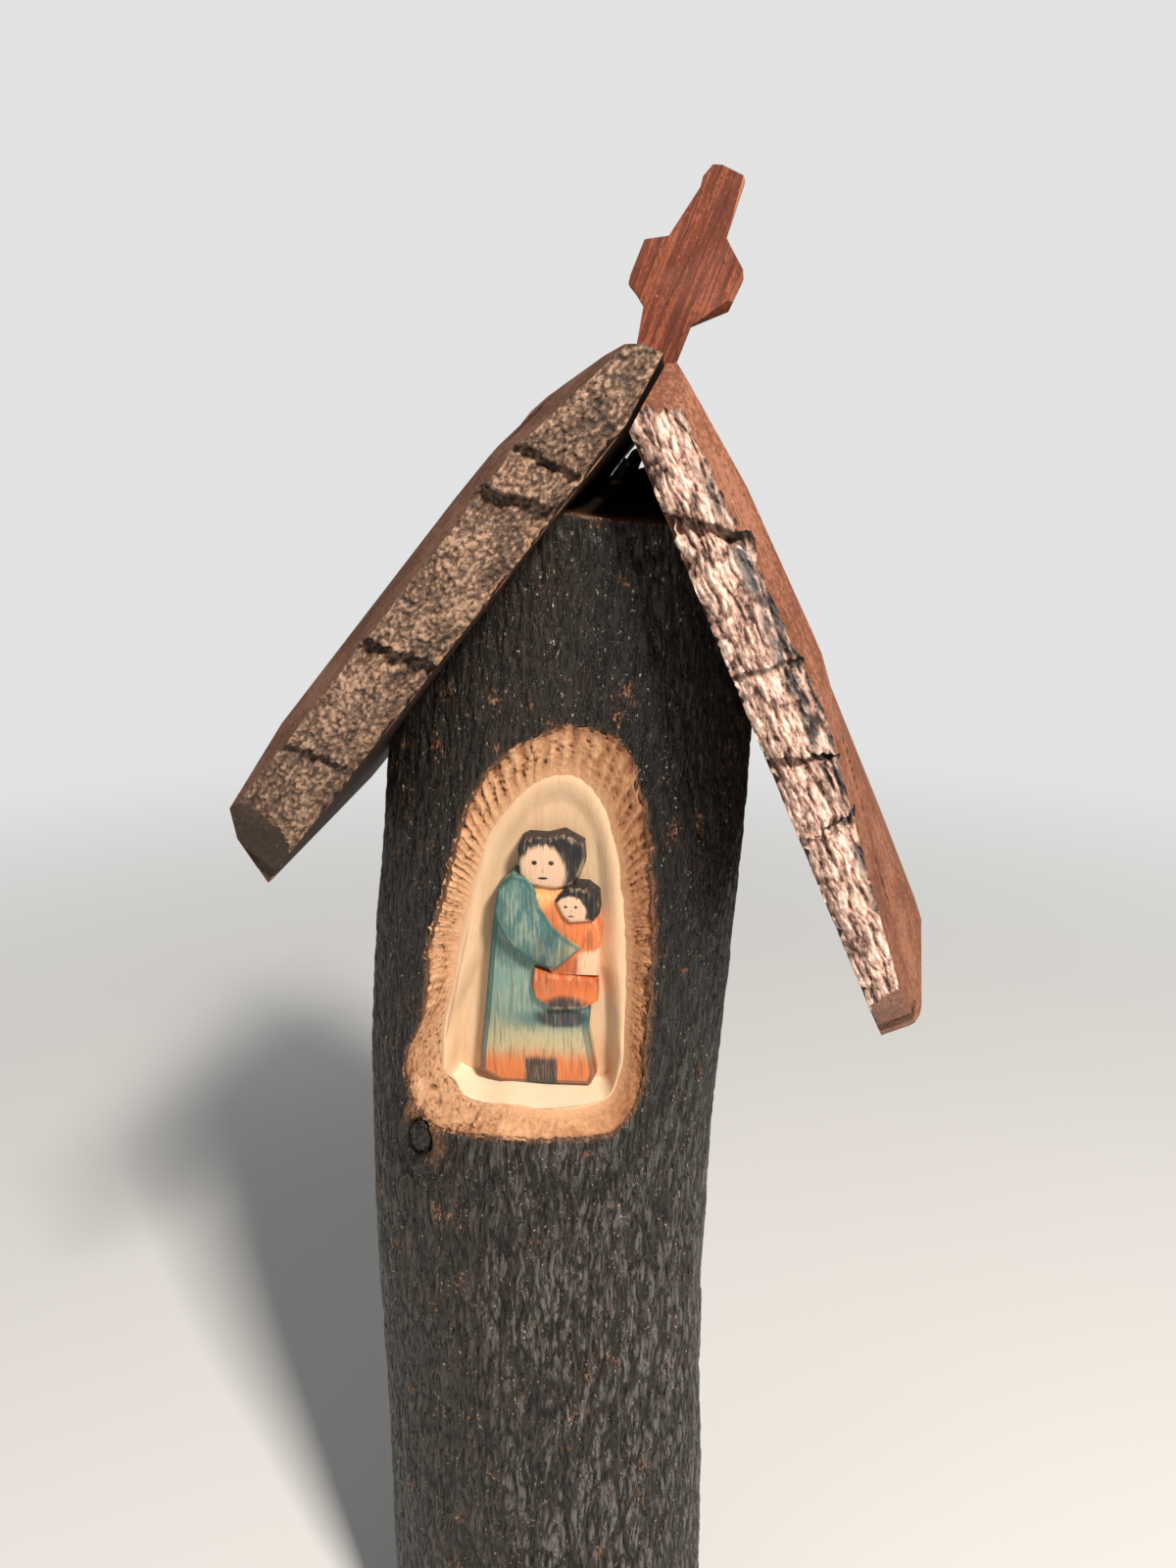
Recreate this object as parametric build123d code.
from build123d import *
import os
from math import cos, radians, sin, tan

# Log: a bent branch in its bark, with the crown cut to carry two roof boards
LOG_RADIUS = 32.5
BARK_THICKNESS = 4.2
RIDGE_HEIGHT = 259.5
RIDGE_OFFSET = 16.5
RIDGE_GAP = 13.2
CROWN_RISE = 5.2
CROWN_LEAN = 7.6
ROOF_HALF_ANGLE = 31.5
# share of ridge height, sideways share of log radius, share of log radius
LOG_SECTION_SHARES = (
    (0 / 6, 0.0, 1.01),
    (1 / 6, -0.01, 1.005),
    (2 / 6, -0.026, 0.992),
    (3 / 6, -0.018, 1.003),
    (4 / 6, 0.071, 1.006),
    (5 / 6, 0.188, 0.972),
    (6 / 6, 0.305, 0.96),
)

# Niche: an arched recess with a knife bevel through the bark, its back leaning forward over the sill
NICHE_HEIGHT = 146.0
NICHE_OFFSET = -0.9
NICHE_DEPTH = 13.0
NICHE_DRAFT = 8.0
NICHE_LEAN = 7.0
CORNER_RADIUS = 3.5
# each outline: half width at the foot, half width at the springing, foot, springing and top heights
FLARE_OUTLINE = (41.7, 35.0, -3.1, 44.2, 76.8)
FLARE_REACH = 3.0
FLARE_DEPTH = 14.5
THROAT_OUTLINE = (12.7, 5.2, 10.4, 25.6, 46.8)
RECESS_OUTLINE = (15.2, 12.2, 5.0, 31.8, 60.0)

# Knot: a dead branch stub in a raised bark collar, lower left of the niche
KNOT_HEIGHT = 142.3
KNOT_ANGLE = 35.0
KNOT_RADIUS = 3.6
KNOT_TAPER_SHARE = 0.85
KNOT_SINK = 0.8
COLLAR_RADIUS = 5.4
COLLAR_BULGE = 1.5
FIT_GAP = 0.1

# Figure: mother and child, one relief carving
FIGURE_HEIGHT = 48.7
FIGURE_RISE = 5.0
FIGURE_OFFSET = 2.5
FIGURE_DRAFT = 9.0
ROBE_THICKNESS = 3.2
HEAD_THICKNESS = 4.2
CHILD_THICKNESS = 4.6
CHILD_HEAD_THICKNESS = 5.2
SLEEVE_THICKNESS = 5.4
HEAD_ROUNDING = 1.2
# outlines as shares of the figure's height, across and up
ROBE_SHARES = (
    (-0.137, 0.0), (0.145, 0.0), (0.201, 0.08), (0.18, 0.315), (0.199, 0.5), (0.206, 0.625),
    (0.171, 0.754), (0.14, 0.828), (-0.033, 0.828), (-0.111, 0.78), (-0.117, 0.685),
    (-0.108, 0.554), (-0.173, 0.222), (-0.197, 0.06),
)
CHILD_SHARES = (
    (0.07, 0.715), (0.189, 0.711), (0.22, 0.64), (0.201, 0.356), (0.077, 0.33), (-0.007, 0.425),
    (0.045, 0.539),
)
SLEEVE_SHARES = (
    (-0.111, 0.78), (-0.126, 0.685), (-0.101, 0.612), (-0.016, 0.528), (0.055, 0.485),
    (0.094, 0.485), (0.141, 0.582), (0.087, 0.599), (0.007, 0.657), (-0.032, 0.765),
)
# heads: centre across, centre up, half width, half height
HEAD_SHARES = (0.062, 0.9, 0.1, 0.1)
CHILD_HEAD_SHARES = (0.139, 0.759, 0.068, 0.066)

# Roof boards: live-edge planks leaning on the crown, bark on front and back edges
LEFT_LENGTH = 88.0
RIGHT_LENGTH = 99.2
BOARD_THICKNESS = 13.4
FRONT_OVERHANG = 4.5
BACK_SETBACK = 1.5
BOARD_FRONT = LOG_RADIUS + FRONT_OVERHANG
BOARD_BACK = LOG_RADIUS - BACK_SETBACK
BARK_EDGE = 5.0
SEAM_LEAN = 28.5
SEAM_GAP = 0.8
RIDGE_LAP = 10.0
# upper outline of each board: share of its length, share of its thickness
LEFT_TOP_SHARES = (
    (-0.104, 0.343), (-0.086, 0.475), (-0.055, 0.565), (0.0, 0.69), (0.045, 0.825),
    (0.1, 0.9), (0.453, 0.99), (0.724, 0.985), (0.905, 0.83), (0.955, 0.58), (1.0, 0.0),
)
RIGHT_TOP_SHARES = (
    (-0.048, 0.69), (0.012, 0.75), (0.14, 0.875), (0.49, 0.99), (0.735, 1.01), (0.887, 0.99),
    (0.993, 0.5), (1.0, 0.35), (1.0, 0.0),
)
# whittled bevels: two spots on the face (length share, thickness share) and the inward run
BEVEL_RUN = 8.0
LEFT_BEVEL_SHARES = (((0.097, 0.73), (0.868, 0.75), 1.0),)
RIGHT_BEVEL_SHARES = (
    ((0.0, 0.56), (0.453, 0.73), 1.0),
    ((0.53, 0.7), (0.877, 0.31), 1.3),
)
# lower front corners: where the end facet starts, and its run into the end
LEFT_FACET_SHARE = 0.858
RIGHT_FACET_SHARE = 0.895
FACET_RUN = 7.0

# Bark plates: parted by cracks at shares of the board's length, each crack with its own slant
CRACK_WIDTH = 0.9
LEFT_CRACK_SHARES = (0.113, 0.188, 0.497, 0.723)
LEFT_CRACK_ANGLES = (10.0, 23.0, 18.0, 17.0)
RIGHT_CRACK_SHARES = (0.161, 0.379, 0.519, 0.628)
RIGHT_CRACK_ANGLES = (37.0, 7.0, 14.0, -17.0)
# height of a crack's pivot, as a share of the thickness
PIVOT_SHARE = 0.36
# front of a plate: share of the thickness across, share of the bark's depth
PLATE_ARC_SHARES = ((0.0, 0.45), (0.36, 1.0), (0.85, 0.5))

# Cross: whittled from one flat stick, its tang in a notch across the ridge
CROSS_HEIGHT = 28.0
CROSS_HALF_WIDTH = 7.6
CROSS_THICKNESS = 2.8
CROSS_BEVEL = 0.6
CROSS_LEAN = 21.8
CROSS_BACKSET = 18.0
CROSS_SHIFT = 2.0
TANG_LENGTH = 7.0
TANG_HALF_WIDTH = 2.4
NOTCH_GAP = 0.1
# half outline: share of the half width, share of the height
CROSS_SHARES = (
    (0.42, 0.0), (0.47, 0.235), (0.91, 0.3), (1.0, 0.36), (1.0, 0.54),
    (0.56, 0.635), (0.5, 0.72), (0.33, 1.0),
)


# Frames shared by the pieces
def heading(lean):
    """Upward direction in the front view, leaning to the right."""
    return Vector(sin(radians(lean)), 0, cos(radians(lean)))


RIDGE = Vector(RIDGE_OFFSET, 0, RIDGE_HEIGHT)
LEFT_DOWN = -heading(CROWN_LEAN + ROOF_HALF_ANGLE)
RIGHT_DOWN = -heading(CROWN_LEAN - ROOF_HALF_ANGLE)
SEAM_UP = heading(SEAM_LEAN)
LEFT_OUT = Vector(0, 1, 0).cross(LEFT_DOWN)
RIGHT_OUT = RIGHT_DOWN.cross(Vector(0, 1, 0))
RIDGE_TOP = RIDGE + SEAM_UP * RIDGE_LAP
NICHE_BACK = -(LOG_RADIUS - NICHE_DEPTH)


def facing(across, depth, height, lean, tip=0):
    """Plane that looks out of the front, leaning with the log or tipped forward."""
    side = heading(lean + 90)
    look = (0, -cos(radians(tip)), -sin(radians(tip)))
    return Plane(origin=(across, depth, height), x_dir=side, z_dir=look)


def trim(shape, spots, inside):
    """Knife cut through three spots that keeps the side of a fourth."""
    first, second, third = spots
    normal = (second - first).cross(third - first)
    if normal.dot(inside - first) < 0:
        normal = -normal
    plane = Plane(origin=first, z_dir=normal)
    return split(shape, bisect_by=plane, keep=Keep.TOP)


# Log
def log_axis(height):
    """Sideways place of the log's middle at a height."""
    share = height / RIDGE_HEIGHT
    pairs = zip(LOG_SECTION_SHARES, LOG_SECTION_SHARES[1:])
    for (low, low_side, _), (high, high_side, _) in pairs:
        if low <= share <= high:
            step = (share - low) / (high - low)
            return LOG_RADIUS * (low_side + (high_side - low_side) * step)
    return LOG_RADIUS * LOG_SECTION_SHARES[-1][1]


def log_blank(depth):
    """The bent log, its surface set in by a depth."""
    sections = []
    for height, side, girth in LOG_SECTION_SHARES:
        centre = (side * LOG_RADIUS, 0, height * RIDGE_HEIGHT)
        sections.append(Plane(origin=centre) * Circle(girth * LOG_RADIUS - depth))
    return loft(sections, ruled=True)


def crown_keep():
    """Everything under the roof boards and the flat of the crown, which climbs to the back."""
    reach = LOG_RADIUS + RIDGE_OFFSET
    left = RIDGE + LEFT_DOWN * (reach / -LEFT_DOWN.X)
    right = RIDGE + RIGHT_DOWN * (reach / RIGHT_DOWN.X)
    foot_left = Vector(left.X, 0, 0)
    foot_right = Vector(right.X, 0, 0)
    outline = Polyline(left, RIDGE, right, foot_right, foot_left, close=True)
    block = extrude(make_face(outline), reach, dir=(0, 1, 0), both=True)
    front = RIDGE - heading(CROWN_LEAN) * RIDGE_GAP - Vector(0, LOG_RADIUS, 0)
    back = front + heading(CROWN_LEAN) * CROWN_RISE + Vector(0, 2 * LOG_RADIUS, 0)
    return trim(block, (front, front + heading(CROWN_LEAN + 90) * reach, back), Vector(0, 0, 0))


def arch(outline):
    """Arched opening in the flat, with a level sill and rounded lower corners."""
    foot, spring, floor, rise, top = outline
    level = foot * tan(radians(CROWN_LEAN))
    sill = (-foot, floor - level), (foot, floor + level)
    sides = Polyline((-spring, rise), *sill, (spring, rise))
    crown = EllipticalCenterArc((0, rise), spring, top - rise, 0, arc_size=180)
    face = make_face(Curve() + [sides, crown])
    corners = face.vertices().sort_by(Axis.Y)[:2]
    return fillet(corners, CORNER_RADIUS)


def bark_opening():
    """Bevelled way through the bark, flatter where the log curves away."""
    outer = -LOG_RADIUS - FLARE_REACH
    inner = outer + FLARE_DEPTH
    mouth = facing(NICHE_OFFSET, outer, NICHE_HEIGHT, CROWN_LEAN) * arch(FLARE_OUTLINE)
    throat = facing(NICHE_OFFSET, inner, NICHE_HEIGHT, CROWN_LEAN) * arch(THROAT_OUTLINE)
    return loft([mouth, throat], ruled=True)


def niche_back():
    """Plane of the recess's back, from the sill up."""
    return facing(FIGURE_OFFSET, NICHE_BACK, NICHE_HEIGHT + FIGURE_RISE, 0, NICHE_LEAN)


def recess():
    """Drafted hollow in the wood, deep over the sill and shallow under the arch."""
    back = facing(NICHE_OFFSET, NICHE_BACK, NICHE_HEIGHT, CROWN_LEAN) * arch(RECESS_OUTLINE)
    hollow = extrude(back, NICHE_DEPTH, taper=-NICHE_DRAFT)
    return split(hollow, bisect_by=niche_back(), keep=Keep.TOP)


def knot_plane(distance):
    """Plane across the knot's axis at a distance from the log's middle."""
    turn = radians(KNOT_ANGLE)
    outward = Vector(-sin(turn), -cos(turn), 0)
    centre = Vector(log_axis(KNOT_HEIGHT), 0, KNOT_HEIGHT) + outward * distance
    return Plane(origin=centre, z_dir=outward)


def knot_cone(base, reach, gap):
    """Tapered branch stub, swollen by a gap."""
    foot = knot_plane(base) * Circle(KNOT_RADIUS + gap)
    tip = knot_plane(reach) * Circle(KNOT_RADIUS * KNOT_TAPER_SHARE + gap)
    return loft([foot, tip])


def log_pieces():
    """Bark mantle, wood core and knot stub."""
    keep = crown_keep()
    outer = log_blank(0)
    inner = log_blank(BARK_THICKNESS)
    root = LOG_RADIUS - BARK_THICKNESS - COLLAR_BULGE
    collar = knot_plane(LOG_RADIUS) * Torus(COLLAR_RADIUS, COLLAR_BULGE)
    hole = knot_cone(root, LOG_RADIUS + COLLAR_BULGE, FIT_GAP)
    bark = (outer + collar - inner) & keep
    bark = bark - bark_opening() - hole
    wood = (inner & keep) - recess()
    stub = knot_cone(root, LOG_RADIUS - KNOT_SINK, 0) - inner
    return bark, wood, stub


# Figure
def relief(shares, thickness):
    """One drafted layer of the carving, cut from its outline."""
    spots = [(FIGURE_HEIGHT * across, FIGURE_HEIGHT * up) for across, up in shares]
    outline = make_face(Polyline(*spots, close=True))
    return extrude(niche_back() * outline, thickness, taper=FIGURE_DRAFT)


def head(shares, thickness):
    """A rounded head of the carving."""
    across, up, half_width, half_height = [FIGURE_HEIGHT * share for share in shares]
    oval = niche_back() * Pos(across, up) * Ellipse(half_width, half_height)
    block = extrude(oval, thickness)
    return fillet(block.edges().sort_by(Axis.Y)[0], HEAD_ROUNDING)


def figure():
    """Robe, child, sleeve and both heads in one piece of wood."""
    carving = relief(ROBE_SHARES, ROBE_THICKNESS)
    carving += relief(CHILD_SHARES, CHILD_THICKNESS)
    carving += relief(SLEEVE_SHARES, SLEEVE_THICKNESS)
    carving += head(HEAD_SHARES, HEAD_THICKNESS)
    return carving + head(CHILD_HEAD_SHARES, CHILD_HEAD_THICKNESS)


# Roof
class Board:
    """One plank of the roof: its slope, outline and knife cuts."""

    def __init__(self, down, out, length, top, bevels, facet, cracks):
        self.down = down
        self.out = out
        self.length = length
        self.top = top
        self.bevels = bevels
        self.facet = facet
        self.cracks = cracks

    def spot(self, along, depth, up):
        """Place from shares of length and thickness, at a depth."""
        slope = self.down * (along * self.length)
        return RIDGE + slope + self.out * (up * BOARD_THICKNESS) + Vector(0, depth, 0)

    def outline(self, start):
        """Side view of the board from its first spots down to the eave."""
        spots = list(start) + [self.spot(along, 0, up) for along, up in self.top]
        return make_face(Polyline(*spots, close=True))

    def knife(self, shape):
        """Bevels and end facets, the same on front and back."""
        middle = self.spot(0.5, (BOARD_BACK - BOARD_FRONT) / 2, 0.5)
        run = BEVEL_RUN
        for side in (-1, 1):
            face = (BOARD_BACK if side > 0 else -BOARD_FRONT) + side * BARK_EDGE
            for first, second, deep in self.bevels:
                edge = [self.spot(along, face, up) for along, up in (first, second)]
                inner = self.spot(first[0], face - side * run * deep, 1)
                shape = trim(shape, (*edge, inner), middle)
            start = [self.spot(self.facet, face, up) for up in (0, 1)]
            tip = self.spot(1, face - side * FACET_RUN, 0)
            shape = trim(shape, (*start, tip), middle)
        return shape

    def plank(self, start):
        """The wood between the two bark edges."""
        blank = extrude(self.outline(start), BOARD_FRONT + BOARD_BACK, dir=(0, 1, 0))
        return self.knife(Pos(0, -BOARD_FRONT, 0) * blank)

    def strip(self, start, side):
        """Rounded bark along one edge, before it cracks into plates."""
        face = BOARD_BACK if side > 0 else -BOARD_FRONT
        depths = [(up, face + side * BARK_EDGE * share) for up, share in PLATE_ARC_SHARES]
        arc = ThreePointArc(*[self.spot(-1, depth, up) for up, depth in depths])
        base = [self.spot(-1, face, up) for up in (0, PLATE_ARC_SHARES[-1][0])]
        back = Polyline(arc @ 1, base[1], base[0], arc @ 0)
        run = extrude(make_face(Curve() + [arc, back]), 3 * self.length, dir=self.down)
        room = extrude(self.outline(start), BOARD_FRONT + BARK_EDGE, dir=(0, 1, 0), both=True)
        return self.knife(run & room)

    def crack(self, share, slant, half):
        """Cut across the bark at a share of the length, leaning by a slant."""
        gap = self.down * (half * CRACK_WIDTH / 2)
        lean = self.down * sin(radians(slant)) + self.out * cos(radians(slant))
        first = self.spot(share, 0, PIVOT_SHARE) + gap
        return first, first + lean * self.length, first + Vector(0, self.length, 0)

    def plates(self, start, side):
        """Bark plates between the cracks, from the ridge to the eave."""
        strip = self.strip(start, side)
        bounds = [None, *zip(*self.cracks), None]
        plates = []
        for upper, lower in zip(bounds, bounds[1:]):
            plate = strip
            if upper:
                plate = trim(plate, self.crack(*upper, 1), self.spot(2, 0, PIVOT_SHARE))
            if lower:
                plate = trim(plate, self.crack(*lower, -1), self.spot(-1, 0, PIVOT_SHARE))
            plates.append(plate)
        return plates


def left_start():
    """Ridge end of the left board, which laps over the seam."""
    return RIDGE, RIDGE_TOP


def right_start():
    """Ridge end of the right board, cut short of the seam."""
    back = RIGHT_DOWN * (SEAM_GAP / sin(radians(SEAM_LEAN - CROWN_LEAN + ROOF_HALF_ANGLE)))
    return RIDGE + back, RIDGE_TOP + back


# Cross
def cross_plane():
    """Plane of the cross, on the ridge and leaning with it."""
    return facing(RIDGE_TOP.X - CROSS_SHIFT, -CROSS_BACKSET, RIDGE_TOP.Z, CROSS_LEAN)


def tang(gap):
    """Stick end that goes down into the ridge, swollen by a gap."""
    half = TANG_HALF_WIDTH + gap
    foot = Pos(0, (CROSS_BEVEL - TANG_LENGTH) / 2)
    face = cross_plane() * foot * Rectangle(2 * half, TANG_LENGTH + CROSS_BEVEL)
    return extrude(face, CROSS_THICKNESS / 2 - CROSS_BEVEL + gap, both=True)


def notch():
    """Slot across the ridge for the tang, open at the top."""
    return tang(NOTCH_GAP) + cross_blank(NOTCH_GAP)


def cross_blank(gap):
    """Outline of the cross above the ridge, swollen by a gap."""
    half = [(CROSS_HALF_WIDTH * x, CROSS_HEIGHT * y) for x, y in CROSS_SHARES]
    mirror_half = [(-x, y) for x, y in reversed(half)]
    face = make_face(Polyline(*half, *mirror_half, close=True))
    if gap:
        face = offset(face, gap)
    return extrude(cross_plane() * face, CROSS_THICKNESS / 2 + gap, both=True)


def cross():
    """Bevelled cross with its tang."""
    blank = cross_blank(0)
    sides = blank.faces().filter_by(Axis.Y).sort_by(Axis.Y)
    rim = sides[0].edges() + sides[-1].edges()
    return chamfer(rim, CROSS_BEVEL) + tang(0)


def main():
    """Build every piece and write one file for each."""
    os.makedirs("parts", exist_ok=True)
    bark, wood, stub = log_pieces()
    pieces = {"log_bark": bark, "log_wood": wood, "knot_stub": stub}
    pieces["mother_and_child"] = figure()
    left = Board(LEFT_DOWN, LEFT_OUT, LEFT_LENGTH, LEFT_TOP_SHARES,
                 LEFT_BEVEL_SHARES, LEFT_FACET_SHARE, (LEFT_CRACK_SHARES, LEFT_CRACK_ANGLES))
    right = Board(RIGHT_DOWN, RIGHT_OUT, RIGHT_LENGTH, RIGHT_TOP_SHARES,
                  RIGHT_BEVEL_SHARES, RIGHT_FACET_SHARE, (RIGHT_CRACK_SHARES, RIGHT_CRACK_ANGLES))
    slot = notch()
    for name, board, start in (("left", left, left_start()), ("right", right, right_start())):
        pieces[f"{name}_board"] = board.plank(start) - slot
        for end, side in (("front", -1), ("back", 1)):
            for number, plate in enumerate(board.plates(start, side), 1):
                pieces[f"{name}_{end}_bark_{number}"] = plate
    pieces["cross"] = cross()
    for name, shape in pieces.items():
        export_step(shape, f"parts/{name}.step")


main()
